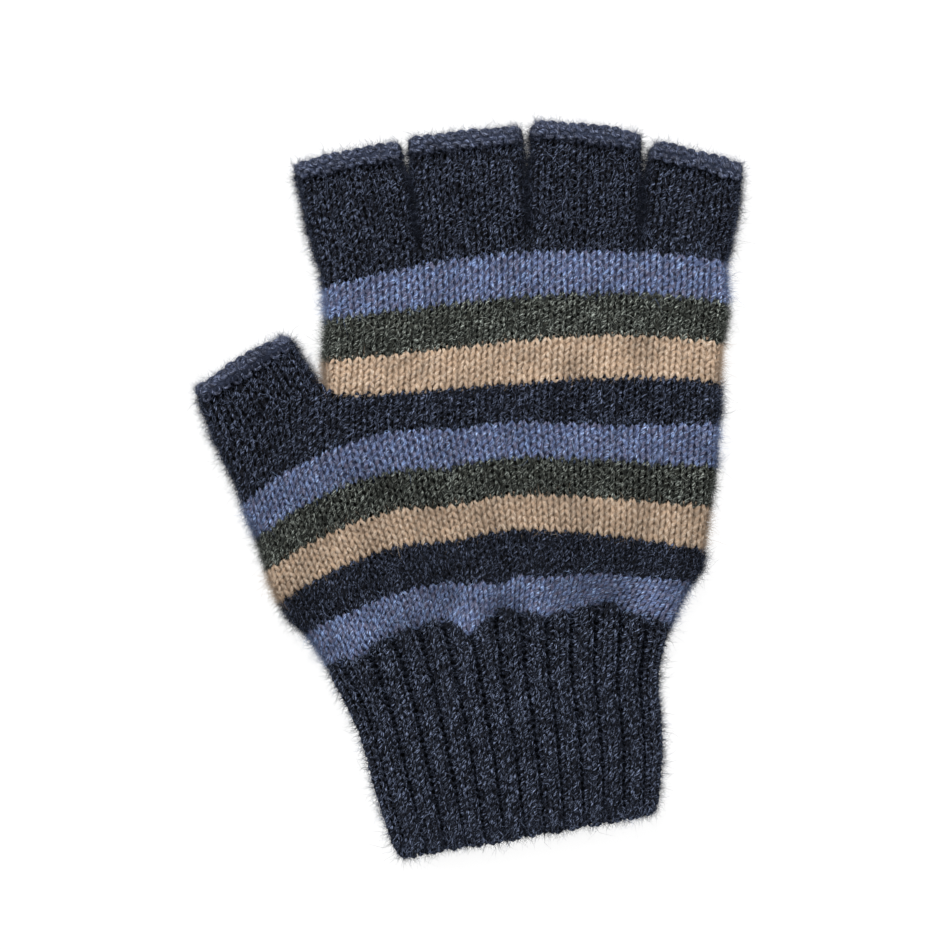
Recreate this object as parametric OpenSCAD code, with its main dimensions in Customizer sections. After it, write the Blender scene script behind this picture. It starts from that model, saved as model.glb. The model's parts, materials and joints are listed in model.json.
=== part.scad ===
// Fingerless knitted glove with open finger stubs and a ribbed cuff, lying flat and empty.
// +Y points to the fingers, +X to the little finger and +Z away from the surface it lies on.
// Lengths are millimetres. The origin is under the middle of the glove, on that surface.

/* [Fabric] */
// Thickness of the empty glove, both layers and the space between them
glove_t = 10; // [9.6:0.1:11]
// Thickness of one knitted layer
wall = 2; // [1.8:0.1:2.2]

/* [Fingers] */
// Length of the strip that bends at the base of each finger stub
finger_base_len = 10; // [9:0.5:11]
// Length of the strip that bends at the base of the thumb stub
thumb_base_len = 7; // [6:0.5:7.5]
// Gap between two neighbouring finger stubs at the crotch
crotch_gap = 0.4; // [0.3:0.1:0.8]

/* [Rolled rims] */
// Length of a rolled rim along its finger
rim_len = 4.4; // [3.5:0.1:4.6]
// Thickness of the roll
rim_t = 3; // [2.6:0.1:3.1]
// How far the roll stands above the finger
rim_rise = 0.8; // [0.4:0.1:1]

/* [Cuff] */
// Length of the bound-off edge at the wrist opening
edge_len = 3; // [2:0.5:5]

/* [Hidden] */
eps = 0.1;
top_steps = 14;
finger_steps = 5;
arc_steps = 6;

navy = "#262b35";
blue = "#5c6784";
charcoal = "#3b3d3c";
beige = "#a79582";
cuff_navy = "#282d38";
rim_navy = "#3d4354";

BANDS = [
    "upper_hand_navy", "blue_band_1", "charcoal_band_1", "beige_band_1", "navy_band_2",
    "blue_band_2", "charcoal_band_2", "beige_band_2", "navy_band_3", "blue_band_3"
];
BAND_COLORS = [navy, blue, charcoal, beige, navy, blue, charcoal, beige, navy, blue];
FINGERS = ["index", "middle", "ring", "little", "thumb"];

// Where the finger stubs part, from the index side to the little finger side
crotches = [[-13.2, 63.2], [14.4, 67], [43, 65.8]];
thumb_crotch = [-38, 26.4];
// Outer ends of the line along which the four fingers leave the hand
index_corner = [-39.5, 57.2];
little_corner = [66.6, 59.5];
// Outer end of the line along which the thumb leaves the hand
thumb_corner = [-64.7, 12];

function lerp(a, b, t) = a + (b - a) * t;

// A line across the glove is a function from u, 0 at the index side and 1 at the little
// finger side, to a point [x, y].
function straight(left, right) = function (u) lerp(left, right, u);

// A course line bows towards the fingers: it has its height at u = 0.25 and at u = 0.6.
function course(left, y_quarter, y_middle, right) =
    let (
        bow_quarter = (y_quarter - lerp(left.y, right.y, 0.25)) / (0.25 * 0.75),
        bow_middle = (y_middle - lerp(left.y, right.y, 0.6)) / (0.6 * 0.4),
        skew = (bow_middle - bow_quarter) / (0.6 - 0.25),
        bow = bow_quarter - 0.25 * skew
    )
    function (u) lerp(left, right, u) + [0, u * (1 - u) * (bow + skew * u)];

// The line where the four fingers leave the hand runs straight from crotch to crotch.
finger_corners = concat([index_corner], crotches, [little_corner]);
finger_line = function (u)
    let (x = lerp(index_corner.x, little_corner.x, u))
    [x, lookup(x, finger_corners) - eps];

// The colour changes across the hand, from the fingers to the cuff
navy_to_blue_1 = course([-37.8, 50.5], 57.2, 60.2, [65.8, 56.5]);
blue_1_to_charcoal_1 = course([-37.2, 43], 47.3, 51, [65.6, 46.5]);
charcoal_1_to_beige_1 = course([-37.5, 32.5], 35.2, 38.6, [64.7, 36.3]);
palm_at_thumb = course([-38, 23.8], 24.4, 28, [64.1, 27]);
navy_2_to_blue_2 = course([-57.7, -4.2], 12.9, 17.2, [63.7, 16.5]);
blue_2_to_charcoal_2 = course([-54.8, -13], 3.4, 7.8, [62.8, 5.3]);
charcoal_2_to_beige_2 = course([-51.6, -20.6], -6.8, -0.9, [61.5, -3.2]);
beige_2_to_navy_3 = course([-48.3, -29], -15.6, -9.8, [60, -13.5]);
navy_3_to_blue_3 = course([-42.7, -38.2], -27.3, -21.6, [57.8, -22.3]);
blue_3_to_cuff = course([-35.2, -47.5], -34.6, -30.2, [51, -36.5]);

// The knit is pulled up into the crotch of the thumb, over the last few millimetres.
crotch_pull = thumb_crotch.y - palm_at_thumb(0).y;
crotch_reach = 0.06;
beige_1_to_navy_2 = function (u)
    palm_at_thumb(u) + [0, crotch_pull * pow(max(0, 1 - u / crotch_reach), 2)];

// Below the beige band the hand is wider: its upper edge takes in the base of the thumb.
thumb_share = (thumb_crotch.x - thumb_corner.x) / (64.1 - thumb_corner.x);
thumb_and_palm = function (u)
    u < thumb_share
        ? lerp(thumb_corner, thumb_crotch, u / thumb_share) - [0, eps]
        : beige_1_to_navy_2((u - thumb_share) / (1 - thumb_share)) - [0, eps];

// The cuff narrows below the wrist and leans towards the little finger side.
wrist_line = straight([-31.3, -57.5], [48, -47.5]);
cuff_middle = straight([-26.5, -72.5], [49.2, -62]);
cuff_bottom_left = [-18.5, -93.4];
cuff_bottom_right = [48.2, -82];
cuff_bottom = straight(cuff_bottom_left, cuff_bottom_right);
cuff_up = let (d = cuff_bottom_right - cuff_bottom_left) [-d.y, d.x] / norm(d);
edge_line = straight(
    cuff_bottom_left + edge_len * (cuff_up + [-0.2, 0]),
    cuff_bottom_right + edge_len * (cuff_up + [0.2, 0])
);

// Upper and lower line of each band, in the order of BANDS
BAND_LINES = [
    [finger_line, navy_to_blue_1],
    [navy_to_blue_1, blue_1_to_charcoal_1],
    [blue_1_to_charcoal_1, charcoal_1_to_beige_1],
    [charcoal_1_to_beige_1, beige_1_to_navy_2],
    [thumb_and_palm, navy_2_to_blue_2],
    [navy_2_to_blue_2, blue_2_to_charcoal_2],
    [blue_2_to_charcoal_2, charcoal_2_to_beige_2],
    [charcoal_2_to_beige_2, beige_2_to_navy_3],
    [beige_2_to_navy_3, navy_3_to_blue_3],
    [navy_3_to_blue_3, blue_3_to_cuff]
];

// Each finger stub: left and right end of its base line, then of its tip line
gap = [crotch_gap / 2, 0];
STUBS = [
    [index_corner, crotches[0] - gap, [-44.6, 82.3], [-17.7, 87.9]],
    [crotches[0] + gap, crotches[1] - gap, [-15.7, 88.6], [13.2, 91.9]],
    [crotches[1] + gap, crotches[2] - gap, [15.2, 93.4], [43, 89.9]],
    [crotches[2] + gap, little_corner, [45.6, 88.1], [69.1, 82.3]],
    [thumb_corner, thumb_crotch, [-69.1, 25.3], [-46.3, 39.2]]
];

function stub_len(stub) =
    norm(lerp(stub[2], stub[3], 0.5) - lerp(stub[0], stub[1], 0.5));
// The line across a stub at distance d from its base
function stub_line(stub, d) =
    let (v = d / stub_len(stub))
    straight(lerp(stub[0], stub[2], v), lerp(stub[1], stub[3], v));

// One closed loop around the glove at a line: flat above and below, with half-round sides.
// inset pulls the sides in, half is half its height and mid the height of its middle.
function loop(line, inset, half, mid, steps) =
    let (
        width = norm(line(1) - line(0)),
        side = (inset + half) / width,
        over = [for (i = [0:steps]) [lerp(side, 1 - side, i / steps), half]],
        right = [for (i = [1:arc_steps - 1])
            let (a = 180 * i / arc_steps)
            [1 - side + half / width * sin(a), half * cos(a)]],
        half_loop = concat(over, right),
        turned = [for (p = half_loop) [1 - p[0], -p[1]]]
    )
    [for (p = concat(half_loop, turned)) concat(line(p[0]), mid + p[1])];

function plain_loops(line, steps) = [
    loop(line, 0, glove_t / 2, glove_t / 2, steps),
    loop(line, wall, glove_t / 2 - wall, glove_t / 2, steps)
];

// A tube through pairs of an outer and an inner loop, open at both ends
module sleeve(pairs) {
    n = len(pairs[0][0]);
    rows = len(pairs);
    inner = n * rows;
    points = [for (side = [0, 1]) for (pair = pairs) each pair[side]];
    function quad(a, b, c, d) = [[a, b, c], [a, c, d]];
    outside = [for (r = [0:rows - 2]) for (i = [0:n - 1])
        let (j = (i + 1) % n, a = r * n, b = a + n)
        each quad(a + i, a + j, b + j, b + i)];
    inside = [for (r = [0:rows - 2]) for (i = [0:n - 1])
        let (j = (i + 1) % n, a = inner + r * n, b = a + n)
        each quad(a + j, a + i, b + i, b + j)];
    first = [for (i = [0:n - 1])
        let (j = (i + 1) % n)
        each [[j, i, inner + i], [j, inner + i, inner + j]]];
    last = [for (i = [0:n - 1])
        let (j = (i + 1) % n, a = (rows - 1) * n, b = inner + a)
        each [[a + i, a + j, b + i], [a + j, b + j, b + i]]];
    polyhedron(points, concat(outside, inside, first, last), convexity = 4);
}

module band(i) {
    color(BAND_COLORS[i])
        sleeve([for (line = BAND_LINES[i]) plain_loops(line, top_steps)]);
}

// The upper part of the ribbing, which gathers the hand in and bends at the wrist
module wrist_ribbing() {
    color(cuff_navy)
        sleeve([for (line = [blue_3_to_cuff, wrist_line]) plain_loops(line, top_steps)]);
}

module rib_cuff() {
    color(cuff_navy)
        sleeve([
            for (line = [wrist_line, cuff_middle, edge_line]) plain_loops(line, top_steps)
        ]);
}

module cuff_edge() {
    color(cuff_navy)
        sleeve([for (line = [edge_line, cuff_bottom]) plain_loops(line, top_steps)]);
}

// A length of a finger stub from one distance to another
module stub_piece(stub, from, to) {
    color(navy)
        sleeve([for (d = [to, from]) plain_loops(stub_line(stub, d), finger_steps)]);
}

// The edge of a stub curls outwards into a roll, so the opening is a little lower there.
module stub_rim(stub) {
    roll_half = (glove_t + rim_rise) / 2;
    bulge = rim_rise / 2;
    tip = stub_len(stub);
    shape = [
        // distance from the tip, growth of the outside, growth of the inside
        [0, bulge - 0.9, 0.5 - rim_t],
        [rim_len * 0.3, bulge, bulge - rim_t],
        [rim_len * 0.7, bulge, bulge - rim_t]
    ];
    color(rim_navy)
        sleeve(concat(
            [for (s = shape)
                let (line = stub_line(stub, tip - s[0]), base = glove_t / 2)
                [
                    loop(line, -s[1], base + s[1], roll_half, finger_steps),
                    loop(line, -s[2], base + s[2], roll_half, finger_steps)
                ]],
            [plain_loops(stub_line(stub, tip - rim_len), finger_steps)]
        ));
}

for (i = [0:len(BANDS) - 1])
    band(i);
wrist_ribbing();
rib_cuff();
cuff_edge();
for (i = [0:len(FINGERS) - 1]) {
    stub = STUBS[i];
    bend = FINGERS[i] == "thumb" ? thumb_base_len : finger_base_len;
    tube_end = stub_len(stub) - rim_len;
    stub_piece(stub, 0, bend);
    stub_piece(stub, bend, tube_end);
    stub_rim(stub);
}
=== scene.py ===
"""Fingerless knitted glove. Every stitch is a yarn loop laid on the sleeves of the CAD model.

Lengths in this file are millimetres, turned into metres as the meshes are made.
"""

import json
import math
from collections import namedtuple

import bpy
import numpy as np
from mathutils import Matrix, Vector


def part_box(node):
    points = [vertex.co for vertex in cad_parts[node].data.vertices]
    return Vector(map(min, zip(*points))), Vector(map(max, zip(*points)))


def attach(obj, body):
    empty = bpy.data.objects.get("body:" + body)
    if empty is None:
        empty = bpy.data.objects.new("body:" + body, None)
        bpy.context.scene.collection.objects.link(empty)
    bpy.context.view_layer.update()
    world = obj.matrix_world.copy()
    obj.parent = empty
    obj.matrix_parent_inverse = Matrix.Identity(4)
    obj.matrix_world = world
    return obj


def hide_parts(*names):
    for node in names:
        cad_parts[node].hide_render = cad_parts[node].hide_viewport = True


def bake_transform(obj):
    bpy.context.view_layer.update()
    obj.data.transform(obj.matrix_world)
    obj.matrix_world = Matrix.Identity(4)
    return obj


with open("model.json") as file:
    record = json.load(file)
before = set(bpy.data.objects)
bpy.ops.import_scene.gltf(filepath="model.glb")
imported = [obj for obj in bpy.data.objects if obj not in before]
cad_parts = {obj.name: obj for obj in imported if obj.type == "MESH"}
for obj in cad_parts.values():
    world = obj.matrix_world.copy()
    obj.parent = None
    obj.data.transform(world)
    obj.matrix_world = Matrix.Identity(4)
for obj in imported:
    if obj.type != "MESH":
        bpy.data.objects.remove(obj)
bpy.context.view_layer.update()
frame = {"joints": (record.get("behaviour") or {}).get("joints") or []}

MM = 0.001
GLOVE_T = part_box("blue_band_1")[1].z / MM  # thickness of the empty glove
WALL = 2.0  # thickness of one knitted layer
RIM_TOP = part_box("index_rim")[1].z / MM  # height of a rim

# ------------------------------------------------------------------ yarn and stitches
YARN_R = 0.53  # radius of the yarn
YARN_SIDES = 5
STEPS = 12  # points along one stitch
LEAN = 0.205  # how far a stitch narrows at its foot, in wales
LOOP_H = 0.78  # half the height of a stitch, in courses
LOOP_D = 0.38  # half the depth of a stitch
FLOOR_Z = 0.03  # lowest yarn, just above what the glove lies on
FELT_OUTSIDE, FELT_INSIDE = -0.05, -0.35  # the felt's two faces, from the fabric's middle
OUTLINE = 0.8  # wales on each side of a flat tube's edge that are on the outline
OUTLINE_FUZZ = 12  # long fibres to a point of the yarn there
END_FUZZ = 5  # the same where the fabric ends
HAIR_SPACING = 900  # points of the yarn to one long hair
NAP_LENGTH, NAP_R = 1.3, 0.045  # short fibres along the yarn: usual length, and radius
FUZZ_LENGTH, FUZZ_R = 1.8, 0.032  # longer fibres that stand off the glove
HAIR_LENGTH, HAIR_R = 4.5, 0.035  # the few long hairs
GRID_WALE = 8  # grid points per wale of a sleeve
GRID_COURSE = 5  # grid points per course
OVERRUN = 2  # courses that a sleeve's grid runs past its ends

# ------------------------------------------------------------------ lines of the glove
# They follow the CAD model's lines to within 2 mm, and to within 5 mm where the cuff joins.
# The sides are drawn in for the fuzz.
CROTCHES = [(-13.2, 63.2), (14.4, 67.0), (43.0, 65.8)]
THUMB_CROTCH = (-38.0, 26.4)
INDEX_CORNER = (-38.7, 57.2)
LITTLE_CORNER = (65.8, 59.5)
THUMB_CORNER = (-64.7, 12.0)
# Left and right end of each stub's base line and tip line, wales around it and courses
STUBS = {
    "index": (INDEX_CORNER, CROTCHES[0], (-44.6, 82.3), (-17.7, 87.9), 20, 12),
    "middle": (CROTCHES[0], CROTCHES[1], (-15.7, 88.6), (13.2, 91.9), 21, 12),
    "ring": (CROTCHES[1], CROTCHES[2], (15.2, 93.4), (43.0, 89.9), 21, 12),
    "little": (CROTCHES[2], LITTLE_CORNER, (45.6, 88.1), (69.1, 82.3), 18, 10),
    "thumb": (THUMB_CORNER, THUMB_CROTCH, (-69.4, 25.9), (-46.5, 39.8), 20, 6),
}
FINGER_GAPS = [(-16.7, 88.2), (14.2, 92.6), (44.3, 89.0)]  # between the tips, above each crotch
HAND_INSET = 1.8  # from the hand's side lines to the middle of its fabric
CUFF_INSET = 1.0  # the same at the end of the cuff
CROTCH_GAP = 0.2
FINGER_INSET = 0.8  # from a stub's side line to the middle of its fabric
FINGER_BELLY = 0.3  # how far a stub's sides swell out
RIM_ROUND = 1.5  # radius of a rim's corners
ROLL_LONG = 1.9  # how far a rim's roll reaches along the finger, either way
ROLL_HIGH = 1.1  # radius of the roll across the fabric
FINGER_BEND = 10  # length of the blend span given at the base of a finger stub
THUMB_BEND = 7  # the same at the base of the thumb stub


def straight(left, right):
    """A line across the glove: a function from u, 0 at the left and 1 at the right, to x, y."""
    left, right = np.array(left, float), np.array(right, float)
    return lambda u: left + np.asarray(u)[:, None] * (right - left)


def course(left, y_quarter, y_middle, right):
    """A line that bows towards the fingers, with its heights at u = 0.25 and u = 0.6."""
    chord = straight(left, right)
    bow_quarter = (y_quarter - (left[1] * 0.75 + right[1] * 0.25)) / (0.25 * 0.75)
    bow_middle = (y_middle - (left[1] * 0.4 + right[1] * 0.6)) / (0.6 * 0.4)
    skew = (bow_middle - bow_quarter) / (0.6 - 0.25)
    bow = bow_quarter - 0.25 * skew

    def line(u):
        points = chord(u)
        points[:, 1] += u * (1 - u) * (bow + skew * u)
        return points

    return line


def through(corners):
    """A line straight from corner to corner."""
    corners = np.array(corners, float)

    def line(u):
        x = corners[0, 0] + u * (corners[-1, 0] - corners[0, 0])
        return np.stack([x, np.interp(x, corners[:, 0], corners[:, 1])], axis=1)

    return line


finger_line = through([INDEX_CORNER, *CROTCHES, LITTLE_CORNER])
palm_at_thumb = course((-38, 23.8), 24.9, 27.8, (64.1, 27))
THUMB_SHARE = (THUMB_CROTCH[0] - THUMB_CORNER[0]) / (64.1 - THUMB_CORNER[0])


def below_beige_1(u):
    """The palm's line at the thumb crotch, where the knit is pulled up over a few mm."""
    points = palm_at_thumb(u)
    pull = THUMB_CROTCH[1] - palm_at_thumb(np.zeros(1))[0, 1]
    points[:, 1] += pull * np.clip(1 - u / 0.06, 0, 1) ** 2
    return points


def thumb_and_palm(u):
    """The same line with the base of the thumb in front of it."""
    corner = (THUMB_CORNER[0] - HAND_INSET + FINGER_INSET, THUMB_CORNER[1])
    thumb = straight(corner, THUMB_CROTCH)(u / THUMB_SHARE)
    palm = below_beige_1(np.clip((u - THUMB_SHARE) / (1 - THUMB_SHARE), 0, 1))
    return np.where((u < THUMB_SHARE)[:, None], thumb, palm)


def squeezed(line, share):
    """The same line with the thumb's wales gathered into another share of it."""
    places, wales = (0, THUMB_SHARE, 1), (0, share, 1)
    return lambda u: line(np.interp(u, places, wales))


# Bands of the hand: name, yarn, courses, the line that ends the band, and below the thumb
# the share of that line that the thumb's wales take
UPPER_BANDS = [
    ("upper_hand_navy", "navy", 3, course((-37.8, 50.5), 56.7, 60.2, (65.8, 57.5))),
    ("blue_band_1", "blue", 5, course((-37.2, 43), 46.1, 49.5, (65.6, 47))),
    ("charcoal_band_1", "charcoal", 7, course((-37.5, 32.5), 34.9, 38.4, (64.7, 36.8))),
    ("beige_band_1", "beige", 6, below_beige_1),
]
LOWER_BANDS = [
    ("navy_band_2", "navy", 7, course((-58.5, -4.2), 12.7, 17.2, (63.7, 17.3)), 0.165),
    ("blue_band_2", "blue", 5, course((-55.5, -13), 3.0, 8.4, (62.8, 6)), 0.17),
    ("charcoal_band_2", "charcoal", 5, course((-52.2, -21.2), -6.4, -1.2, (61.5, -4.2)), 0.175),
    ("beige_band_2", "beige", 5, course((-48.9, -29), -15, -10, (60, -15)), 0.185),
    ("navy_band_3", "navy", 7, course((-42.9, -37), -25.8, -21.4, (57.8, -22.8)), 0.195),
    ("blue_band_3", "blue", 5, course((-37.5, -44.5), -34.7, -29.6, (51.5, -34.5)), THUMB_SHARE),
]
HAND_WALES = 70
LOWER_WALES = 84
# The cuff's two edges, from the hand to the wrist opening
CUFF_LEFT = [(-37.5, -44.5), (-30.2, -57.5), (-25.3, -72.5), (-18.6, -92.4)]
CUFF_RIGHT = [(51.5, -34.5), (48, -47.5), (49.0, -62), (47.8, -81)]
CUFF_COURSES = 30
RIB = 3  # wales in one rib: two knit and one purl
RIB_WIDTHS = (0.385, 0.385, 0.23)  # share of a rib's width that each of its wales takes
RIB_RISE = 0.6  # how far a rib's crown stands above the sleeve
RIB_DEPTH = 3.6  # how far the purl wale's middle lies below the crown
# Pieces of the cuff: name, CAD nodes, first course and the course after the last
CUFF_PIECES = [
    ("wrist_ribbing_knit", ("wrist_ribbing",), 0, 7),
    ("rib_cuff_upper_knit", ("rib_cuff",), 7, 14),
    ("rib_cuff_middle_knit", ("rib_cuff",), 14, 21),
    ("rib_cuff_lower_knit", ("rib_cuff",), 21, 28),
    ("cuff_edge_knit", ("cuff_edge",), 28, 30),
]
CUFF_BLENDS_TO = 14  # courses of the cuff whose pieces get the wrist's blend span, not the cuff's body
BEND_ABOVE = 5.5  # how far the blend span reaches from the wrist's hinge towards the fingers
BEND_BELOW = 9  # and towards the wrist opening
CUFF_ROWS = 7  # rings of points that shape the cuff
CUFF_CORNER = 1.4  # how far the corners of the wrist opening are drawn in


# ------------------------------------------------------------------ sleeves
def smooth(t):
    t = np.clip(t, 0, 1)
    return t * t * (3 - 2 * t)


def unit(v):
    return v / np.maximum(np.linalg.norm(v, axis=-1, keepdims=True), 1e-12)


def section(width, half, corner, n):
    """n evenly spaced points round a flattened tube: place across it, and height."""
    arc = np.radians(np.linspace(0, 90, 13))
    x = width - corner + corner * np.sin(arc)
    z = half - corner + corner * np.cos(arc)
    quarter = np.stack([x, z], axis=1)
    right = np.concatenate([quarter, quarter[::-1] * (1, -1)])
    left = right[::-1] * (-1, 1) + (width, 0)
    path = np.concatenate([left[len(left) // 2:], right, left[:len(left) // 2]])
    path = np.concatenate([[[0, 0]], path, [[0, 0]]])
    run = np.concatenate([[0], np.cumsum(np.linalg.norm(np.diff(path, axis=0), axis=1))])
    at = np.arange(n) / n * run[-1]
    return np.interp(at, run, path[:, 0]), np.interp(at, run, path[:, 1])


def ring(line, n, half=GLOVE_T / 2 - WALL / 2, middle=GLOVE_T / 2, inset=HAND_INSET):
    """n points of the middle of the fabric, round the glove at a line."""
    ends = line(np.array([0.0, 1.0]))
    width = np.linalg.norm(ends[1] - ends[0])
    across, height = section(width - 2 * inset, half, min(3.0, half - 0.2), n)
    points = line((across + inset) / width)
    return np.concatenate([points, middle + height[:, None]], axis=1)


def hermite(knots, values, at):
    """Values at the given places on smooth curves through values at the knots."""
    knots, values = np.array(knots, float), np.array(values, float)
    slopes = np.gradient(values, knots, axis=0)
    i = np.clip(np.searchsorted(knots, at, side="right") - 1, 0, len(knots) - 2)
    step = (knots[i + 1] - knots[i])[:, None, None]
    t = ((at - knots[i]) / step[:, 0, 0])[:, None, None]
    inside = np.clip(t, 0, 1)
    from_value = values[i] * (2 * inside**3 - 3 * inside**2 + 1)
    from_slope = slopes[i] * step * (inside**3 - 2 * inside**2 + inside)
    to_value = values[i + 1] * (3 * inside**2 - 2 * inside**3)
    to_slope = slopes[i + 1] * step * (inside**3 - inside**2)
    beyond = (t - inside) * step * np.where(t < 0, slopes[i], slopes[i + 1])
    return from_value + from_slope + to_value + to_slope + beyond


class Sleeve:
    """A knitted tube as a grid of points over its courses and wales.

    towards_cuff says that course numbers grow towards the cuff, which is also the way
    that the glove is knitted, so the heads of its stitches point that way.
    """

    def __init__(self, knots, rings, courses, wales, towards_cuff, shape=None):
        self.wales, self.courses = wales, courses
        self.heads = 1 if towards_cuff else -1
        steps = (courses + 2 * OVERRUN) * GRID_COURSE + 1
        self.at = np.linspace(-OVERRUN, courses + OVERRUN, steps)
        self.points = hermite(knots, rings, self.at)
        self.find_normals()
        if shape:
            shape(self)
            self.find_normals()

    def find_normals(self):
        p = self.points
        around = np.roll(p, -1, axis=1) - np.roll(p, 1, axis=1)
        along = np.gradient(p, axis=0)
        self.normals = unit(np.cross(around, along)) * -self.heads

    def wale_grid(self):
        n = self.points.shape[1]
        return np.arange(n) * self.wales / n

    def sample(self, course_at, wale_at):
        """Points and outward normals at places given in courses and wales."""
        rows, columns = self.points.shape[:2]
        r = np.clip((course_at + OVERRUN) * GRID_COURSE, 0, rows - 1.001)
        c = (wale_at % self.wales) * columns / self.wales
        r0, c0 = r.astype(int), c.astype(int) % columns
        c1 = (c0 + 1) % columns
        fr, fc = (r - r0)[:, None], (c - np.floor(c))[:, None]
        out = []
        for grid in (self.points, self.normals):
            low = grid[r0, c0] * (1 - fc) + grid[r0, c1] * fc
            high = grid[r0 + 1, c0] * (1 - fc) + grid[r0 + 1, c1] * fc
            out.append(low * (1 - fr) + high * fr)
        return out[0], unit(out[1])


def bumps(x, y, seed, size):
    """Soft random relief between about -1 and 1, with bumps about size mm across."""
    rng = np.random.default_rng(seed)
    total = 0
    for _ in range(7):
        direction, phase = rng.uniform(0, 2 * math.pi, 2)
        wave = size * rng.uniform(0.75, 1.5)
        total = total + np.sin(
            2 * math.pi * (x * math.cos(direction) + y * math.sin(direction)) / wave + phase
        )
    return total / 3.2


def scallops(x):
    """How far the join of hand and cuff hangs down or is drawn up along its length."""
    lobes = ((-29, 4, -2.0), (0, 4.2, -4.4), (19, 5, -1.7), (35, 6, 2.8), (46, 4, 0.8))
    return sum(size * np.exp(-(((x - middle) / width) ** 2)) for middle, width, size in lobes)


def gathers(x):
    """1 on the folds where the cuff gathers the hand in and 0 in the dips between them."""
    folds = ((-28, 8, 1.0), (0, 4.5, 1.0), (17, 6.5, 0.6), (45, 7, 1.0))
    return sum(size * np.exp(-(((x - middle) / width) ** 2)) for middle, width, size in folds)


def patches_and_painted_shade_at(points):
    """Soft random patches of tone, and painted shade in folds and between the fingers."""
    x, y = points[:, 0], points[:, 1]
    # random soft patches of tone
    shade = 0.92 + 0.13 * bumps(x, y, 21, 12) + 0.07 * bumps(x, y, 22, 5)
    # painted shade: the lower hand darker towards the wrist, as where the cloth slopes from the
    # light
    shade *= 1 - 0.18 * smooth((14 - y) / 14) * smooth((y + 30) / 12)
    # painted shade in the dips between the gathers where the cuff draws the hand in
    shade *= 1 - 0.36 * np.exp(-(((y + 30 - 0.06 * x) / 9) ** 2)) * (1 - gathers(x))
    # painted shade in the valleys between the fingers
    for (x0, y0), (x1, y1) in zip(CROTCHES, FINGER_GAPS):
        aside = x - x0 - (x1 - x0) * (y - y0) / (y1 - y0)
        shade *= 1 - 0.7 * np.exp(-((aside / 1.2) ** 2)) * smooth((y - y0 + 12) / 9)
    return np.clip(shade, 0.3, 1.15)


def soft_hand(sleeve):
    """Loose cloth: low bumps all over the hand."""
    p = sleeve.points
    lift = 0.4 * bumps(p[..., 0], p[..., 1], 3, 26) + 0.24 * bumps(p[..., 0], p[..., 1], 4, 10)
    p += sleeve.normals * lift[..., None]


def soft_upper(sleeve):
    """Loose cloth, with the valleys between the fingers running down into the palm."""
    soft_hand(sleeve)
    p = sleeve.points
    lift = 0
    for x, y in CROTCHES:
        valley = np.exp(-(((p[..., 0] - x) / 2.4) ** 2))
        lift = lift - 2.2 * valley * smooth((p[..., 1] - y + 10) / 9)
    p += sleeve.normals * lift[..., None]


def soft_lower(sleeve):
    """Loose cloth, with puckers where the cuff gathers the hand in and a crease above them."""
    soft_hand(sleeve)
    p = sleeve.points
    x, y = p[..., 0].copy(), p[..., 1].copy()
    gather = smooth((sleeve.at - sleeve.courses + 11) / 11)[:, None]
    lift = gather * 2.2 * (gathers(x) - 0.5)
    crease = np.exp(-(((x - 6.5 + 0.1 * (y + 20)) / 1.5) ** 2)) * smooth((-8 - y) / 8)
    lift -= 0.9 * crease * (sleeve.normals[..., 2] > 0.3)
    p += sleeve.normals * lift[..., None]
    at = sleeve.at[:, None]
    sag = 1.7 * np.exp(-(((x + 5) / 10) ** 2)) * smooth((at - 2) / 5) * smooth((28 - at) / 5)
    notch = 2.3 * np.exp(-(((x - 7.5) / 3) ** 2)) * np.exp(-(((at - 29) / 4) ** 2))
    p[..., 1] += gather**2 * scallops(x) - sag - notch


def rib_relief(sleeve):
    """Gathers the wales of each rib and sinks its purl wale between the knit ones."""
    wale = sleeve.wale_grid()
    rib, place = np.floor(wale / RIB), wale % RIB
    edges = np.concatenate([[0], np.cumsum(RIB_WIDTHS)]) * RIB
    squeezed_wale = rib * RIB + np.interp(place, np.arange(RIB + 1), edges)
    n = sleeve.points.shape[1]
    at = squeezed_wale * n / sleeve.wales
    a, f = at.astype(int) % n, (at % 1)[None, :, None]
    warped = sleeve.points[:, a] * (1 - f) + sleeve.points[:, (a + 1) % n] * f
    depth = smooth((sleeve.at + 0.5) / 3)[:, None]
    warped = sleeve.points * (1 - depth[..., None]) + warped * depth[..., None]
    knit_middle = (edges[0] + edges[2]) / 2
    from_crown = np.abs((np.interp(place, np.arange(RIB + 1), edges) - knit_middle + RIB / 2) % RIB
                        - RIB / 2) / (RIB / 2)
    x, y = warped[..., 0].copy(), warped[..., 1].copy()
    fade = smooth(1 - sleeve.at / 7)[:, None]
    crown = RIB_RISE - RIB_DEPTH * from_crown**2.5
    lift = depth * crown[None, :] + 0.3 * bumps(x, y, 13, 24) * (1 - fade)
    lift = lift + fade * (2.2 * (gathers(x) - 0.5) + 0.4 * bumps(x, y, 3, 26)
                          + 0.24 * bumps(x, y, 4, 10))
    sleeve.points = warped + sleeve.normals * lift[..., None]
    sleeve.points[..., 1] += fade**2 * scallops(x)
    left, right = CUFF_LEFT[-1][0], CUFF_RIGHT[-1][0]
    aside = (2 * x - left - right) / (right - left)
    corner = smooth((np.abs(aside) - 0.88) / 0.12) * np.sign(aside)
    end = np.clip((sleeve.at[:, None] - sleeve.courses + 2) / 2, 0, 1)
    sleeve.points[..., 0] -= CUFF_CORNER * corner * end**2


# ------------------------------------------------------------------ meshes
YARN, FELT, FIBRES = 0, 1, 2  # material indices


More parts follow.
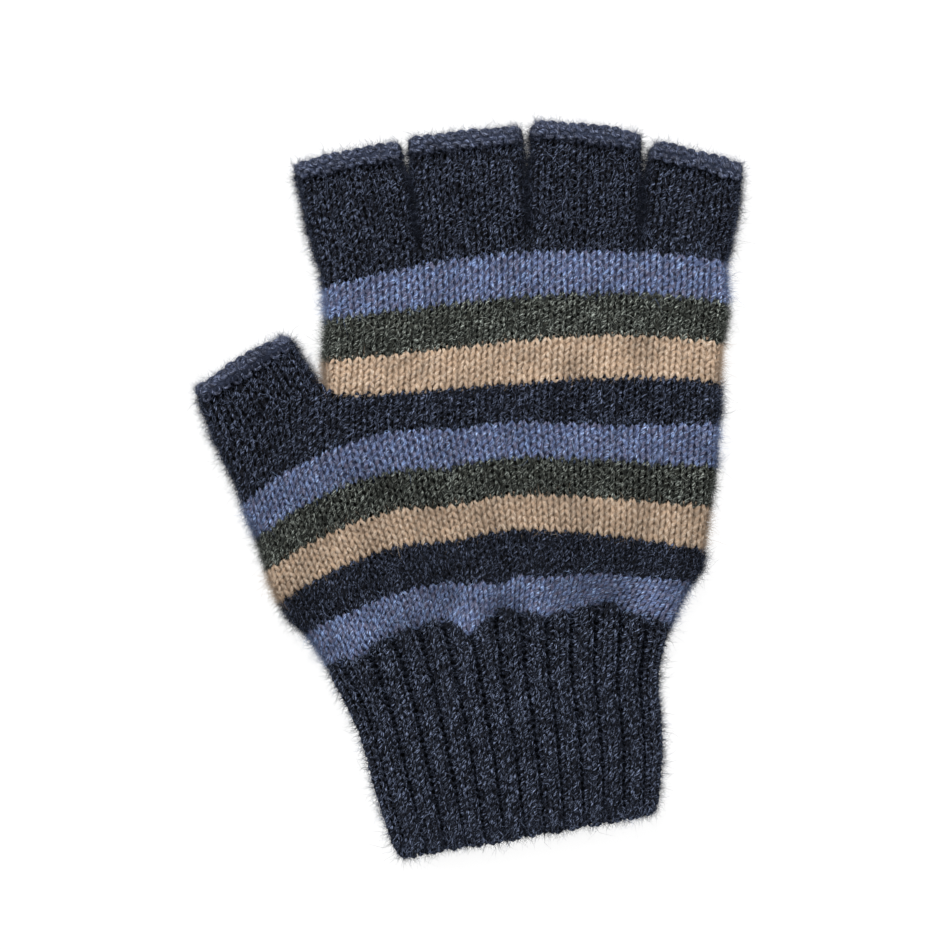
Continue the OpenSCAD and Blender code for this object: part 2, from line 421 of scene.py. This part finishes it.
class Mesh:
    """Collects vertices and faces, with a yarn coordinate, tone and painted shade for materials.
    """

    def __init__(self):
        self.points, self.faces, self.sizes, self.uv = [], [], [], []
        self.tone, self.shade, self.material = [], [], []
        self.count = 0

    def add(self, points, faces, uv, tone, material, shade=1.0):
        self.points.append(points)
        self.faces.append((faces + self.count).ravel())
        self.sizes.append(np.full(len(faces), faces.shape[1]))
        self.uv.append(uv.reshape(-1, 2))
        self.tone.append(np.broadcast_to(tone, len(points)))
        self.shade.append(np.broadcast_to(shade, len(points)))
        self.material.append(np.full(len(faces), material))
        self.count += len(points)

    def build(self, name, materials):
        points = np.concatenate(self.points)
        # painted shade: the darker purl wales, times the wool's painted shade and random patches
        patches_and_painted_shades = np.concatenate(self.shade) * patches_and_painted_shade_at(points)
        points *= MM
        corners, sizes = np.concatenate(self.faces), np.concatenate(self.sizes)
        me = bpy.data.meshes.new(name)
        me.vertices.add(len(points))
        me.vertices.foreach_set("co", points.astype(np.float32).ravel())
        me.loops.add(len(corners))
        me.loops.foreach_set("vertex_index", corners.astype(np.int32))
        me.polygons.add(len(sizes))
        starts = np.concatenate([[0], np.cumsum(sizes)[:-1]])
        me.polygons.foreach_set("loop_start", starts.astype(np.int32))
        me.update(calc_edges=True)
        me.polygons.foreach_set("use_smooth", np.ones(len(sizes), bool))
        indices = np.concatenate(self.material).astype(np.int32)
        me.polygons.foreach_set("material_index", indices)
        yarn = me.uv_layers.new(name="yarn")
        yarn.data.foreach_set("uv", np.concatenate(self.uv).astype(np.float32).ravel())
        tone = me.attributes.new("tone", "FLOAT", "POINT")
        tone.data.foreach_set("value", np.concatenate(self.tone).astype(np.float32))
        # the painted shade, with its random patches of tone, goes to the materials as a point
        # attribute
        shade = me.attributes.new("shade", "FLOAT", "POINT")
        shade.data.foreach_set("value", patches_and_painted_shades.astype(np.float32))
        me.update()
        for material in materials:
            me.materials.append(material)
        ob = bpy.data.objects.new(name, me)
        bpy.context.scene.collection.objects.link(ob)
        return ob


def add_yarn(mesh, path, normal, radius, start, shade):
    """A closed loop of yarn, a round tube along path."""
    n = len(path)
    along = unit(np.roll(path, -1, axis=0) - np.roll(path, 1, axis=0))
    side = unit(np.cross(along, normal))
    up = np.cross(side, along)
    turn = np.arange(YARN_SIDES) * 2 * math.pi / YARN_SIDES
    out = np.cos(turn)[None, :, None] * side[:, None] + np.sin(turn)[None, :, None] * up[:, None]
    points = path[:, None] + out * np.asarray(radius)[:, None, None]
    i, j = np.meshgrid(np.arange(n), np.arange(YARN_SIDES), indexing="ij")
    i1, j1 = (i + 1) % n, (j + 1) % YARN_SIDES
    faces = np.stack(
        [i * YARN_SIDES + j, i1 * YARN_SIDES + j, i1 * YARN_SIDES + j1, i * YARN_SIDES + j1],
        axis=-1,
    ).reshape(-1, 4)
    run = np.linalg.norm(np.roll(path, -1, axis=0) - path, axis=1)
    u = np.concatenate([[0], np.cumsum(run)]) + start
    v = np.arange(YARN_SIDES + 1) / YARN_SIDES
    uv = np.stack([
        np.stack([u[i], v[j]], -1), np.stack([u[i + 1], v[j]], -1),
        np.stack([u[i + 1], v[j + 1]], -1), np.stack([u[i], v[j + 1]], -1),
    ], axis=-2)
    points[..., 2] = np.maximum(points[..., 2], FLOOR_Z)
    mesh.add(points.reshape(-1, 3), faces, uv, 0.5, YARN, np.repeat(shade, YARN_SIDES))
    return along


def wander(rng, n, every, size):
    """A smooth closed random curve of n values."""
    knots = rng.normal(0, size, max(4, int(n / every)))
    at = np.arange(n) * len(knots) / n
    i, f = at.astype(int), smooth(at % 1)
    return knots[i % len(knots)] * (1 - f) + knots[(i + 1) % len(knots)] * f


def add_course(mesh, sleeve, number, rng, face=None):
    """One course of stitches round a sleeve. face is 1 on a knit wale and -1 on a purl one.

    Returns the yarn's points, and for each the fabric's normal, the yarn's direction, its
    painted shade (purl wales darker) and whether it is on the glove's outline.
    """
    n = sleeve.wales * STEPS
    wale = np.arange(n) / STEPS
    phase = 2 * math.pi * wale
    half = STEPS / 2
    wale_at = wale + LEAN * np.sin(2 * phase) + wander(rng, n, half, 0.05)
    height = LOOP_H * (1 + wander(rng, n, STEPS, 0.09))
    course_at = number + 0.5 - sleeve.heads * height * np.cos(phase)
    course_at += wander(rng, n, half, 0.06)
    side = np.ones(n) if face is None else face(wale)
    # painted shade: the purl wales, sunk in the rib grooves, are darkened to half
    shade = 0.75 + 0.25 * side
    depth = -LOOP_D * np.cos(2 * phase) * side + wander(rng, n, half, 0.07)
    points, normals = sleeve.sample(course_at, wale_at)
    radius = YARN_R * (1 + wander(rng, n, half, 0.13))
    path = points + normals * depth[:, None]
    path[:, 2] = np.maximum(path[:, 2], FLOOR_Z + 0.8 * YARN_R)
    along = add_yarn(mesh, path, normals, radius, rng.uniform(0, 500), shade)
    half_way = sleeve.wales / 2
    from_side = np.abs((wale + half_way / 2) % half_way - half_way / 2)
    return path, normals, along, shade, from_side < OUTLINE


def add_felt(mesh, sleeve, first, last):
    """The matted wool behind the stitches, a thin closed tube that closes their gaps."""
    rows = np.arange(first, last + 0.01, 1.0)
    wale = np.arange(sleeve.wales * 2) / 2
    points = []
    for row, lift in [(r, FELT_OUTSIDE) for r in rows] + [(r, FELT_INSIDE) for r in rows[::-1]]:
        p, normal = sleeve.sample(np.full(len(wale), row), wale)
        points.append(p + normal * lift)
    m, n = len(points), len(wale)
    i, j = np.meshgrid(np.arange(m), np.arange(n), indexing="ij")
    i1, j1 = (i + 1) % m, (j + 1) % n
    faces = np.stack([i * n + j, i * n + j1, i1 * n + j1, i1 * n + j], axis=-1).reshape(-1, 4)
    if sleeve.heads > 0:
        faces = faces[:, ::-1]
    points = np.concatenate(points)
    points[:, 2] = np.maximum(points[:, 2], FLOOR_Z)
    mesh.add(points, faces, points[faces][..., :2], 0.5, FELT)


def add_fibres(mesh, root, normal, heading, rng, shade, length, radius, steps, curl, tone=None):
    """Loose wool fibres from the given roots, as thin curved spikes with 3 sides."""
    count = len(root)
    size = length * rng.lognormal(0, 0.4, count)[:, None]
    bend = unit(np.cross(heading, rng.normal(size=(count, 3))))
    bend *= rng.uniform(0.3, 1, (count, 1)) * curl
    second = unit(np.cross(heading, rng.normal(size=(count, 3)))) * curl * 0.5
    t = np.linspace(0, 1, steps)[:, None, None]
    path = root + size * (heading * t + bend * t * t + second * np.sin(4 * t) * 0.4)
    path[..., 2] = np.maximum(path[..., 2], FLOOR_Z)
    along = unit(path[-1] - path[0])
    side = unit(np.cross(along, normal + 0.1 * bend))
    up = np.cross(along, side)
    thick = radius * rng.uniform(0.7, 1.4, (count, 1))
    rings = []
    for k in range(steps - 1):
        taper = 1 - 0.7 * k / (steps - 1)
        for turn in np.arange(3) * 2 * math.pi / 3:
            rings.append(path[k] + thick * taper * (side * math.cos(turn) + up * math.sin(turn)))
    points = np.stack(rings + [path[-1]], axis=1)
    each = points.shape[1]
    sides = [(k * 3 + a, k * 3 + (a + 1) % 3) for k in range(steps - 2) for a in range(3)]
    quads = np.array([(a, b, b + 3, a + 3) for a, b in sides])
    top = (steps - 2) * 3
    tips = np.array([(top + a, top + (a + 1) % 3, each - 1) for a in range(3)] + [(2, 1, 0)])
    offset = (np.arange(count) * each)[:, None, None]
    if tone is None:
        tone = np.where(rng.random(count) < 0.1, 1.0, rng.beta(1.6, 1.9, count))
    tones = np.repeat(np.broadcast_to(tone, count), each)
    quads = (quads[None] + offset).reshape(-1, 4)
    tips = (tips[None] + offset).reshape(-1, 3)
    mesh.add(points.reshape(-1, 3), quads, np.zeros((quads.size, 2)), tones, FIBRES,
             np.repeat(shade, each))
    none = np.zeros((0, 3))
    mesh.add(none, tips - count * each, np.zeros((tips.size, 2)), 0, FIBRES)


def add_nap(mesh, path, normal, along, shade, rng, per_point):
    """Short fibres that lie along the yarn, thinner on the side that the glove lies on."""
    chance = per_point * np.where(normal[:, 2] > -0.3, 1, 0.2)
    pick = np.repeat(np.arange(len(path)), rng.poisson(chance))
    count = len(pick)
    across = np.cross(along[pick], normal[pick])
    swing = rng.normal(0, 0.55, (count, 1))
    forward = rng.choice((-1, 1), (count, 1))
    heading = along[pick] * forward * np.cos(swing) + across * np.sin(swing)
    heading = unit(heading + normal[pick] * rng.uniform(-0.15, 0.5, (count, 1)))
    turn = rng.uniform(-1.3, 1.3, (count, 1))
    out = normal[pick] * np.cos(turn) + across * np.sin(turn)
    root = path[pick] + out * YARN_R * 0.92
    add_fibres(mesh, root, normal[pick], heading, rng, shade[pick], NAP_LENGTH, NAP_R, 3, 0.5)


def add_fuzz(mesh, path, normal, shade, rng, edge, per_point, edge_per_point, out=None):
    """Longer fibres that stand off the glove, most of them round its outline."""
    if out is not None:
        edge = np.ones(len(path), bool)
    chance = np.where(edge, edge_per_point, per_point * np.where(normal[:, 2] > 0, 1, 0.2))
    pick = np.repeat(np.arange(len(path)), rng.poisson(chance))
    count = len(pick)
    away = normal[pick] if out is None else np.broadcast_to(out, (count, 3))
    wild = unit(rng.normal(size=(count, 3)))
    lift = rng.uniform(0.1, 1, (count, 1)) * np.where(edge[pick], 2.0, 0.55)[:, None]
    heading = unit(wild * (1, 1, 0.6) + away * lift)
    root = path[pick] + normal[pick] * YARN_R * 0.6
    add_fibres(mesh, root, normal[pick], heading, rng, shade[pick], FUZZ_LENGTH, FUZZ_R, 3, 0.9)


def add_guard_hairs(mesh, path, normal, shade, rng, count):
    """A few long, light hairs."""
    pick = rng.integers(0, len(path), count)
    wild = unit(rng.normal(size=(count, 3)) * (1, 1, 0.15) + normal[pick] * 0.25)
    root = path[pick] + normal[pick] * YARN_R * 0.6
    add_fibres(mesh, root, normal[pick], wild, rng, shade[pick], HAIR_LENGTH, HAIR_R, 6, 0.6,
               tone=1.0)


# ------------------------------------------------------------------ materials
def srgb(r, g, b):
    """A colour given as 0-255 screen values."""
    def linear(c):
        c /= 255
        return c / 12.92 if c <= 0.04045 else ((c + 0.055) / 1.055) ** 2.4

    return (linear(r), linear(g), linear(b), 1)


# Each yarn is spun from dyed fibres of several shades. The last colour is the wool seen in
# the gaps between the stitches, darker than the yarn for all but the beige: painted shade
# in those gaps. rim is the stubs' navy yarn made lighter: painted light on the rolled rims.
Yarn = namedtuple("Yarn", "dark main second light felt")
YARNS = {
    "navy": Yarn(srgb(1, 1, 2), srgb(13, 16, 24), srgb(18, 18, 22), srgb(122, 134, 164),
                 srgb(4, 5, 7)),
    "blue": Yarn(srgb(52, 52, 72), srgb(100, 116, 156), srgb(102, 100, 120),
                 srgb(162, 190, 232), srgb(68, 76, 102)),
    "charcoal": Yarn(srgb(3, 4, 3), srgb(41, 44, 41), srgb(50, 51, 46), srgb(178, 186, 178),
                     srgb(9, 10, 8)),
    "beige": Yarn(srgb(164, 139, 115), srgb(184, 164, 144), srgb(177, 153, 131),
                  srgb(208, 194, 178), srgb(184, 161, 138)),
    "cuff": Yarn(srgb(1, 1, 2), srgb(16, 19, 29), srgb(21, 22, 27), srgb(136, 149, 180),
                 srgb(3, 4, 6)),
    # painted light: the rims are the navy stubs curled over, coloured lighter as if lit from above
    "rim": Yarn(srgb(28, 31, 42), srgb(62, 69, 90), srgb(64, 67, 80), srgb(130, 140, 166),
                srgb(50, 56, 73)),
}


class Nodes:
    """Short calls for building a node tree."""

    def __init__(self, material):
        material.use_nodes = True
        self.tree = material.node_tree
        self.tree.nodes.clear()

    def new(self, kind, **settings):
        node = self.tree.nodes.new("ShaderNode" + kind)
        for key, value in settings.items():
            setattr(node, key, value)
        return node

    def link(self, source, target):
        self.tree.links.new(source, target)

    def math(self, operation, a, b):
        node = self.new("Math", operation=operation)
        for socket, value in zip(node.inputs, (a, b)):
            if isinstance(value, (int, float)):
                socket.default_value = value
            else:
                self.link(value, socket)
        return node.outputs[0]

    def ramp(self, source, stops):
        node = self.new("ValToRGB")
        while len(node.color_ramp.elements) < len(stops):
            node.color_ramp.elements.new(0.5)
        for element, (place, colour) in zip(node.color_ramp.elements, stops):
            element.position, element.color = place, colour
        self.link(source, node.inputs["Fac"])
        return node.outputs["Color"]

    def noise(self, vector, scale, detail=2.0, roughness=0.5):
        node = self.new("TexNoise")
        node.inputs["Scale"].default_value = scale
        node.inputs["Detail"].default_value = detail
        node.inputs["Roughness"].default_value = roughness
        self.link(vector, node.inputs["Vector"])
        return node.outputs["Fac"]

    def mix(self, factor, a, b, kind="MIX"):
        node = self.new("Mix", data_type="RGBA", blend_type=kind)
        if isinstance(factor, (int, float)):
            node.inputs["Factor"].default_value = factor
        else:
            self.link(factor, node.inputs["Factor"])
        for socket, value in ((node.inputs["A"], a), (node.inputs["B"], b)):
            if isinstance(value, tuple):
                socket.default_value = value
            else:
                self.link(value, socket)
        return node.outputs["Result"]


def wool_shader(nodes, colour, sheen_tint, sheen):
    shader = nodes.new("BsdfPrincipled")
    nodes.link(colour, shader.inputs["Base Color"])
    shader.inputs["Roughness"].default_value = 0.95
    shader.inputs["Specular IOR Level"].default_value = 0.1
    shader.inputs["Sheen Weight"].default_value = sheen
    shader.inputs["Sheen Roughness"].default_value = 0.6
    shader.inputs["Sheen Tint"].default_value = sheen_tint
    out = nodes.new("OutputMaterial")
    nodes.link(shader.outputs[0], out.inputs["Surface"])
    return shader


def times_painted_shade(nodes, colour):
    """The colour times the painted shade and random patches that the mesh carries."""
    shade = nodes.new("Attribute", attribute_name="shade").outputs["Fac"]
    return nodes.mix(1.0, colour, nodes.ramp(shade, [(0, (0, 0, 0, 1)), (1, (1, 1, 1, 1))]),
                     "MULTIPLY")


def yarn_material(name):
    """Plied heather yarn: streaks of dyed fibres that run with the twist."""
    dark, main, second, light, _ = YARNS[name]
    material = bpy.data.materials.new(name + "_yarn")
    nodes = Nodes(material)
    uv = nodes.new("UVMap", uv_map="yarn").outputs["UV"]
    split = nodes.new("SeparateXYZ")
    nodes.link(uv, split.inputs[0])
    along, around = split.outputs["X"], split.outputs["Y"]
    twisted = nodes.math("ADD", nodes.math("MULTIPLY", along, 0.42), around)
    # Fibres: long thin cells along the twist, wrapped so that no seam shows
    angle = nodes.math("MULTIPLY", twisted, 2 * math.pi)
    cell = nodes.new("CombineXYZ")
    nodes.link(nodes.math("MULTIPLY", nodes.math("COSINE", angle, 0), 0.5), cell.inputs["X"])
    nodes.link(nodes.math("MULTIPLY", nodes.math("SINE", angle, 0), 0.5), cell.inputs["Y"])
    nodes.link(nodes.math("MULTIPLY", along, 0.38), cell.inputs["Z"])
    fibre = nodes.noise(cell.outputs[0], 2.6, 3.0, 0.65)
    heather = nodes.noise(cell.outputs[0], 0.8, 2.0)
    base = nodes.mix(
        nodes.ramp(heather, [(0.42, (0, 0, 0, 1)), (0.58, (1, 1, 1, 1))]), main, second)
    dusky = nodes.mix(
        nodes.ramp(fibre, [(0.4, (1, 1, 1, 1)), (0.52, (0, 0, 0, 1))]), base, dark)
    lit = nodes.mix(nodes.ramp(fibre, [(0.55, (0, 0, 0, 1)), (0.67, (1, 1, 1, 1))]), dusky, light)
    shader = wool_shader(nodes, times_painted_shade(nodes, lit), light, 0.08)
    # Two plies make a shallow spiral groove
    groove = nodes.math("ABSOLUTE", nodes.math("SINE", angle, 0), 0)
    relief = nodes.math(
        "ADD", nodes.math("MULTIPLY", groove, 0.5), nodes.math("MULTIPLY", fibre, 1.3))
    bump = nodes.new("Bump")
    bump.inputs["Strength"].default_value = 0.6
    bump.inputs["Distance"].default_value = 0.25 * MM
    nodes.link(relief, bump.inputs["Height"])
    nodes.link(bump.outputs[0], shader.inputs["Normal"])
    return material


def felt_material(name):
    """The matted wool behind the stitches, coloured darker than its yarn: painted shade."""
    yarn = YARNS[name]
    material = bpy.data.materials.new(name + "_felt")
    nodes = Nodes(material)
    place = nodes.new("TexCoord").outputs["Object"]
    fleck = nodes.noise(place, 2600, 3.0, 0.6)
    # painted shade: the felt runs from the yarn's darkest fibres to its darkened gap colour
    colour = nodes.ramp(fleck, [(0.35, yarn.dark), (0.55, yarn.felt)])
    shader = wool_shader(nodes, times_painted_shade(nodes, colour), yarn.second, 0.0)
    bump = nodes.new("Bump")
    bump.inputs["Strength"].default_value = 0.6
    bump.inputs["Distance"].default_value = 0.2 * MM
    nodes.link(fleck, bump.inputs["Height"])
    nodes.link(bump.outputs[0], shader.inputs["Normal"])
    return material


def fibre_material(name):
    """Single loose fibres, each of one dyed colour."""
    dark, main, second, light, _ = YARNS[name]
    material = bpy.data.materials.new(name + "_fibres")
    nodes = Nodes(material)
    tone = nodes.new("Attribute", attribute_name="tone").outputs["Fac"]
    colour = nodes.ramp(tone, [(0.0, dark), (0.45, main), (0.75, second), (1.0, light)])
    wool_shader(nodes, times_painted_shade(nodes, colour), light, 0.2)
    return material


MATERIALS = {n: [yarn_material(n), felt_material(n), fibre_material(n)] for n in YARNS}


# ------------------------------------------------------------------ the glove
def finish_piece(mesh, name, yarn, nodes, body, blend=None):
    ob = mesh.build(name, MATERIALS[yarn])
    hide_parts(*nodes)
    if blend:
        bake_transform(ob)
    else:
        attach(ob, body)


def knit(sleeve, first, last, seed, face=None, out=None, nap=1.3, fuzz=0.7):
    """A mesh with the courses from first up to last, the felt behind them and the fibres.

    nap and fuzz are the numbers of short and long fibres to a point of the yarn. out is the
    way that the fuzz stands where the fabric ends.
    """
    rng = np.random.default_rng(seed)
    mesh = Mesh()
    courses = [add_course(mesh, sleeve, number, rng, face) for number in range(first, last)]
    path, normal, along, shade, edge = (np.concatenate(part) for part in zip(*courses))
    add_felt(mesh, sleeve, first, last)
    add_nap(mesh, path, normal, along, shade, rng, nap)
    edge_fuzz = OUTLINE_FUZZ if out is None else END_FUZZ
    add_fuzz(mesh, path, normal, shade, rng, edge, fuzz, edge_fuzz, out)
    add_guard_hairs(mesh, path, normal, shade, rng, len(path) // HAIR_SPACING)
    return mesh


def make_bands(bands, first_line, wales, seed, shape):
    lines = [first_line] + [band[3] for band in bands]
    ends = np.concatenate([[0], np.cumsum([band[2] for band in bands])])
    n = wales * GRID_WALE
    sleeve = Sleeve(ends, [ring(line, n) for line in lines], ends[-1], wales, True, shape)
    for i, (name, yarn, _, _) in enumerate(bands):
        mesh = knit(sleeve, ends[i], ends[i + 1], seed + i)
        finish_piece(mesh, name + "_knit", yarn, (name,), "hand")


def edge_points(corners, n):
    corners = np.array(corners, float)
    run = np.concatenate([[0], np.cumsum(np.linalg.norm(np.diff(corners, axis=0), axis=1))])
    at = np.linspace(0, run[-1], n)
    return np.stack([np.interp(at, run, corners[:, k]) for k in (0, 1)], axis=1)


def rib_face(wale):
    """1 on knit wales and -1 on the purl wale of each rib, turning between them."""
    place = wale % RIB
    purl = smooth((place - 1.85) / 0.3) * (1 - smooth((place - 2.85) / 0.3))
    purl = np.maximum(purl, 1 - smooth((place + 0.15) / 0.3))
    return 1 - 2 * purl


def joint(name):
    return next(j for j in frame["joints"] if j["name"] == name)


def make_cuff(seed):
    left, right = edge_points(CUFF_LEFT, CUFF_ROWS), edge_points(CUFF_RIGHT, CUFF_ROWS)
    top = LOWER_BANDS[-1][3]
    n = LOWER_WALES * GRID_WALE

    def row(i):
        def line(u):
            bow = top(u) - straight(CUFF_LEFT[0], CUFF_RIGHT[0])(u)
            return straight(left[i], right[i])(u) + bow * (1 - i / (CUFF_ROWS - 1))
        return line

    insets = np.linspace(HAND_INSET, CUFF_INSET, CUFF_ROWS)
    rings = [ring(row(i), n, inset=insets[i]) for i in range(CUFF_ROWS)]
    knots = np.linspace(0, CUFF_COURSES, CUFF_ROWS)
    sleeve = Sleeve(knots, rings, CUFF_COURSES, LOWER_WALES, True, rib_relief)
    hinge = joint("wrist_bend")
    centre, axis = np.array(hinge["pos_m"]), np.array(hinge["axis"])
    down = np.cross((0, 0, 1), axis)
    start, end = centre - down * BEND_ABOVE * MM, centre + down * BEND_BELOW * MM
    blend = ("cuff", tuple(start), tuple(end))
    for i, (name, nodes, first, last) in enumerate(CUFF_PIECES):
        out = (*down[:2], 0.2) if last == CUFF_COURSES else None
        mesh = knit(sleeve, first, last, seed + i, rib_face, out, nap=0.8, fuzz=0.2)
        across = last <= CUFF_BLENDS_TO
        finish_piece(mesh, name, "cuff", nodes, "hand" if across else "cuff",
                     blend if across else None)


def make_stub(name, seed):
    """A finger stub and its rolled rim, knitted as one sleeve that curls over at its end."""
    base_left, base_right, tip_left, tip_right, wales, courses = STUBS[name]
    base_left, base_right = np.array(base_left), np.array(base_right)
    gap = np.array([CROTCH_GAP, 0])
    base_left, base_right = base_left + gap, base_right - gap
    tip_left, tip_right = np.array(tip_left), np.array(tip_right)
    middle, tip = (base_left + base_right) / 2, (tip_left + tip_right) / 2
    length = np.linalg.norm(tip - middle)
    out = (tip - middle) / length
    across = unit(tip_right - tip_left)
    tip_half = np.linalg.norm(tip_right - tip_left) / 2

    def line_at(distance):
        v = distance / length
        belly = FINGER_BELLY * math.sin(math.pi * min(v, 1)) * across
        return straight(base_left + (tip_left - base_left) * v - belly,
                        base_right + (tip_right - base_right) * v + belly)

    n = wales * GRID_WALE
    tube = length - ROLL_LONG - YARN_R
    plain = GLOVE_T / 2 - WALL / 2
    waist = RIM_TOP / 2 - YARN_R - 2 * ROLL_HIGH
    knots, rings = [], []
    for share in (0, 0.35, 0.6, 0.8, 1.0):
        near = smooth((share - 0.6) / 0.4)
        half = plain + (waist - plain) * near
        mid = GLOVE_T / 2 + (RIM_TOP / 2 - GLOVE_T / 2) * near
        knots.append(share * courses)
        rings.append(ring(line_at(share * tube), n, half, mid, FINGER_INSET))
    last = rings[-1]
    place = (last[:, :2] - tip) @ across / tip_half
    wide = np.sqrt(np.clip(1 - place**2, 0, 1))[:, None]
    face = np.clip((last[:, 2] - RIM_TOP / 2) / waist * 1.3, -1, 1)[:, None] * (0, 0, 1)
    along = np.array([out[0], out[1], 0])
    pitch = tube / courses
    for turn in np.radians(np.arange(40, 321, 40)):
        rings.append(last + along * ROLL_LONG * (0.95 + 0.1 * wide) * math.sin(turn)
                     + face * ROLL_HIGH * (1 - math.cos(turn)))
        step = np.linalg.norm((rings[-1] - rings[-2])[n // 4])
        knots.append(knots[-1] + step / pitch)
    total = int(knots[-1])

    def round_tip(sleeve):
        p = sleeve.points
        flat = p[..., :2] - tip
        along_tip, across_tip = flat @ out, flat @ across
        crown = 0.35 * smooth(1 + along_tip / 8) * (1 - (across_tip / tip_half) ** 2)
        into = np.clip(RIM_ROUND + along_tip, 0, RIM_ROUND * 0.98)
        limit = tip_half - (RIM_ROUND - np.sqrt(RIM_ROUND**2 - into**2))
        shift = across_tip * (limit / tip_half - 1)
        p[..., :2] += shift[..., None] * across + crown[..., None] * out
        p += sleeve.normals * (0.25 * bumps(p[..., 0], p[..., 1], seed, 12))[..., None]

    sleeve = Sleeve(knots, rings, total, wales, False, round_tip)
    body = "thumb" if name == "thumb" else name + "_finger"
    reach = (THUMB_BEND if name == "thumb" else FINGER_BEND) * MM
    start = np.array([middle[0] * MM, middle[1] * MM, GLOVE_T / 2 * MM])
    blend = (body, tuple(start), tuple(start + along * reach))
    mesh = knit(sleeve, 0, courses, seed)
    nodes = (name + "_base", name + "_tube")
    finish_piece(mesh, name + "_stub_knit", "navy", nodes, "hand", blend)
    mesh = knit(sleeve, courses, total, seed + 1, None, (*out, 0.2), nap=2.6)
    # painted light: the rim is given the lighter copy of the navy yarn
    finish_piece(mesh, name + "_rim_knit", "rim", (name + "_rim",), body)


make_bands(UPPER_BANDS, finger_line, HAND_WALES, 10, soft_upper)
lower_bands = [(*band[:3], squeezed(band[3], band[4])) for band in LOWER_BANDS]
make_bands(lower_bands, thumb_and_palm, LOWER_WALES, 30, soft_lower)
make_cuff(50)
for k, stub in enumerate(STUBS):
    make_stub(stub, 70 + 2 * k)


# ------------------------------------------------------------------ floor, light and camera
def make_floor():
    """A wide floor with low walls, pale to the horizon."""
    me = bpy.data.meshes.new("floor")
    far, wall = 3.0, 0.7
    square = [(-far, -far), (far, -far), (far, far), (-far, far)]
    points = [(x, y, z) for z in (0, wall) for x, y in square]
    walls = [(k, 4 + k, 4 + (k + 1) % 4, (k + 1) % 4) for k in range(4)]
    me.from_pydata(points, [], [(0, 1, 2, 3), *walls])
    floor = bpy.data.objects.new("floor", me)
    floor.location.z = -0.1 * MM
    bpy.context.scene.collection.objects.link(floor)
    material = bpy.data.materials.new("white_paper")
    nodes = Nodes(material)
    shader = nodes.new("BsdfPrincipled")
    shader.inputs["Base Color"].default_value = (0.1, 0.1, 0.1, 1)
    shader.inputs["Roughness"].default_value = 1.0
    shader.inputs["Specular IOR Level"].default_value = 0.0
    shader.inputs["Emission Color"].default_value = (1, 1, 1, 1)
    shader.inputs["Emission Strength"].default_value = 0.93
    out = nodes.new("OutputMaterial")
    nodes.link(shader.outputs[0], out.inputs["Surface"])
    me.materials.append(material)


def make_light(name, place, size, watts):
    data = bpy.data.lights.new(name, "AREA")
    data.size, data.energy = size, watts
    ob = bpy.data.objects.new(name, data)
    ob.location = place
    ob.rotation_euler = (-ob.location).to_track_quat("-Z", "Y").to_euler()
    bpy.context.scene.collection.objects.link(ob)


def make_world(strength):
    world = bpy.data.worlds.new("studio")
    world.use_nodes = True
    world.node_tree.nodes["Background"].inputs["Color"].default_value = (1, 1, 1, 1)
    world.node_tree.nodes["Background"].inputs["Strength"].default_value = strength
    bpy.context.scene.world = world


def make_camera():
    """Straight down from above, with a long lens."""
    centre, view_width, lens, sensor = (1.3, 3.8), 240.5, 120, 36
    data = bpy.data.cameras.new("camera")
    data.lens, data.sensor_width = lens, sensor
    ob = bpy.data.objects.new("camera", data)
    distance = view_width * lens / sensor
    ob.location = (centre[0] * MM, centre[1] * MM, (distance + GLOVE_T / 2) * MM)
    bpy.context.scene.collection.objects.link(ob)
    bpy.context.scene.camera = ob


make_floor()
make_world(0.3)
make_light("key", (-0.2, 0.9, 0.85), 0.4, 14)
make_light("left", (-1.0, 0.25, 0.75), 0.4, 10)
make_light("right", (1.0, 0.3, 0.75), 0.4, 10)
make_camera()
bpy.context.scene.view_settings.view_transform = "Standard"
